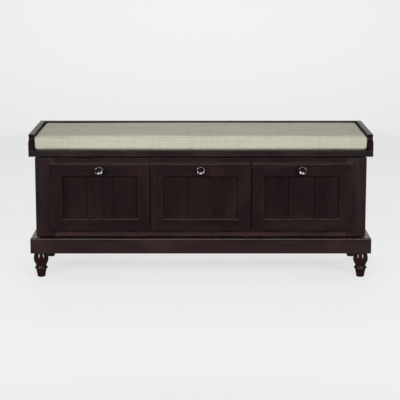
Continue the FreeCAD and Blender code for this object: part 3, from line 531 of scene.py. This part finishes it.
def fit_to_seat(piece):
    """Scale the filled cover to the room between the tray's walls, and to its height without the crown."""
    lows = [min(vertex.co[axis] for vertex in piece.data.vertices) for axis in range(3)]
    highs = [max(vertex.co[axis] for vertex in piece.data.vertices) for axis in range(3)]
    goal_low = Vector((LEFT_WALL_HIGH.x + NEIGHBOUR_ROOM, CUSHION_LOW.y, CUSHION_LOW.z))
    goal_high = Vector((RIGHT_WALL_LOW.x - NEIGHBOUR_ROOM,
                        BACK_WALL_LOW.y - NEIGHBOUR_ROOM,
                        CUSHION_HIGH.z - CUSHION_CROWN))
    for vertex in piece.data.vertices:
        for axis in range(3):
            share = (vertex.co[axis] - lows[axis]) / (highs[axis] - lows[axis])
            vertex.co[axis] = goal_low[axis] + share * (goal_high[axis] - goal_low[axis])


def dress_cushion(piece):
    """The crown and soft waves of a used foam cushion, its two seams, and the flat face it rests on."""
    low, high = CUSHION_LOW, CUSHION_HIGH
    centre = (low + high) / 2
    half = (high - low) / 2
    for vertex in piece.data.vertices:
        point = vertex.co
        across = (point.x - centre.x) / half.x
        along = (point.y - centre.y) / half.y
        height = (point.z - low.z) / (high.z - low.z)
        crown = (1 - abs(across) ** 4) * (1 - along ** 4)
        dimple = Vector((point.x * DIMPLES_PER_METRE[0], point.y * DIMPLES_PER_METRE[1], DIMPLE_LEVEL))
        point.z += smooth_step(height) * (CUSHION_CROWN * crown + DIMPLE_DEPTH * noise.noise(dimple))
        end = smooth_step((abs(across) - (1 - END_ZONE)) / END_ZONE)
        front = smooth_step((abs(along) - (1 - FRONT_ZONE)) / FRONT_ZONE)
        waist = WAIST_PULL * (1 - height)
        pinch = seam_pinch(point.z)
        point.x -= math.copysign(end * (waist + pinch), across)
        point.y -= math.copysign(front * (waist * FRONT_WAIST_SHARE + pinch), along)
        point.x = max(LEFT_WALL_HIGH.x + NEIGHBOUR_ROOM, min(RIGHT_WALL_LOW.x - NEIGHBOUR_ROOM, point.x))
        point.y = min(BACK_WALL_LOW.y - NEIGHBOUR_ROOM, point.y)
        point.z = max(low.z, point.z)


def make_cushion():
    piece = cushion_blank()
    remesh(piece)
    inflate(piece)
    subdivide = piece.modifiers.new("smooth", "SUBSURF")
    subdivide.levels = 1
    subdivide.render_levels = 1
    apply_modifiers(piece)
    fit_to_seat(piece)
    dress_cushion(piece)
    for polygon in piece.data.polygons:
        polygon.use_smooth = True
    paint(piece, linen("oatmeal_linen"))
    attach(piece, "cushion")
    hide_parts("cushion")


# ---- studio --------------------------------------------------------------------------------------
PAPER_COLOUR = (0.22, 0.22, 0.219, 1)
PAPER_ROUGHNESS = 0.85
LOW_GLOW = 0.660               # a light table: it keeps the shadow under the bench thin
HIGH_GLOW = 0.20
FADE = (0.85, 1.80)            # the glow falls from low to high between these heights
FLOOR_REACH = 9.0
SWEEP_START = 4.0              # behind the bench
SWEEP_RADIUS = 1.0
SWEEP_STEPS = 16
SWEEP_HEIGHT = 6.0


def stage_strip(name, profile, material):
    """A wide strip of the set, drawn through a side view given as points (y, z)."""
    vertices = [(side * FLOOR_REACH, y, z) for y, z in profile for side in (-1, 1)]
    faces = [(2 * i, 2 * i + 1, 2 * i + 3, 2 * i + 2) for i in range(len(profile) - 1)]
    mesh = bpy.data.meshes.new(name)
    mesh.from_pydata(vertices, [], faces)
    for polygon in mesh.polygons:
        polygon.use_smooth = True
    strip = bpy.data.objects.new(name, mesh)
    bpy.context.scene.collection.objects.link(strip)
    paint(strip, material)
    return strip


def studio_paper():
    """Pale glowing paper that turns grey high on the backdrop, where the lacquer would mirror it."""
    shader = Shader("pale_paper")
    glow = shader.span(shader.place().outputs["Z"], *FADE, LOW_GLOW, HIGH_GLOW)
    return shader.surface(Base_Color=PAPER_COLOUR, Roughness=PAPER_ROUGHNESS, Emission_Color=(1, 1, 1, 1),
                          Emission_Strength=glow)


def make_floor():
    """A pale glowing floor, and behind the bench a backdrop that sweeps up from it."""
    start_y = CAD_HIGH.y + SWEEP_START
    sweep = [(start_y, 0.0)]
    for step in range(1, SWEEP_STEPS + 1):
        angle = math.pi / 2 * step / SWEEP_STEPS
        sweep.append((start_y + SWEEP_RADIUS * math.sin(angle), SWEEP_RADIUS * (1 - math.cos(angle))))
    sweep.append((start_y + SWEEP_RADIUS, SWEEP_HEIGHT))
    paper = studio_paper()
    floor = stage_strip("floor", [(-FLOOR_REACH, 0.0), (start_y, 0.0)], paper)
    # The floor is hidden from the bench's reflections and bounced light, as black flags around it would hide
    # it.
    floor.visible_glossy = False
    floor.visible_diffuse = False
    stage_strip("backdrop", sweep, paper)


def area_light(name, place, target, size, power, colour):
    data = bpy.data.lights.new(name, "AREA")
    data.shape = "RECTANGLE"
    data.size, data.size_y = size
    data.energy = power
    data.color = colour
    data.spread = LIGHT_SPREAD
    light = bpy.data.objects.new(name, data)
    light.location = place
    light.rotation_euler = (target - place).to_track_quat("-Z", "Y").to_euler()
    bpy.context.scene.collection.objects.link(light)
    return light


def make_lights():
    target = Vector((0, 0, (CAD_LOW.z + CAD_HIGH.z) / 2))
    for side, name in ((-1, "left_softbox"), (1, "right_softbox")):
        place = Vector((side * SIDE_LIGHT_PLACE.x, SIDE_LIGHT_PLACE.y, SIDE_LIGHT_PLACE.z))
        area_light(name, place, target, SIDE_LIGHT_SIZE, SIDE_LIGHT_POWER, SIDE_LIGHT_COLOUR)
    area_light("front_softbox", FRONT_LIGHT_PLACE, target, FRONT_LIGHT_SIZE, FRONT_LIGHT_POWER,
               FRONT_LIGHT_COLOUR)
    rear = area_light("rear_softbox", REAR_LIGHT_PLACE, target, REAR_LIGHT_SIZE, REAR_LIGHT_POWER, WHITE)
    rear.visible_glossy = False            # it only fills: the lacquer doesn't mirror it
    area_light("top_softbox", TOP_LIGHT_PLACE, target, TOP_LIGHT_SIZE, TOP_LIGHT_POWER, TOP_LIGHT_COLOUR)
    area_light("backdrop_softbox", BACK_LIGHT_PLACE, BACK_LIGHT_AIM, BACK_LIGHT_SIZE, BACK_LIGHT_POWER, WHITE)
    world = bpy.data.worlds.new("studio")
    world.use_nodes = True
    background = world.node_tree.nodes["Background"]
    background.inputs["Color"].default_value = WORLD_COLOUR
    background.inputs["Strength"].default_value = WORLD_STRENGTH
    bpy.context.scene.world = world


def make_camera():
    data = bpy.data.cameras.new("camera")
    data.lens = FOCAL_LENGTH
    data.clip_end = CLIP_END
    camera = bpy.data.objects.new("camera", data)
    camera.location = Vector((CAMERA_SIDE, TRAY_LOW.y - CAMERA_DISTANCE, CAMERA_HEIGHT))
    camera.rotation_euler = (math.pi / 2 - CAMERA_TILT, 0, 0)
    bpy.context.scene.collection.objects.link(camera)
    bpy.context.scene.camera = camera
    bpy.context.scene.view_settings.view_transform = "Standard"


paint_cad_nodes()
make_cushion()
make_floor()
make_lights()
make_camera()
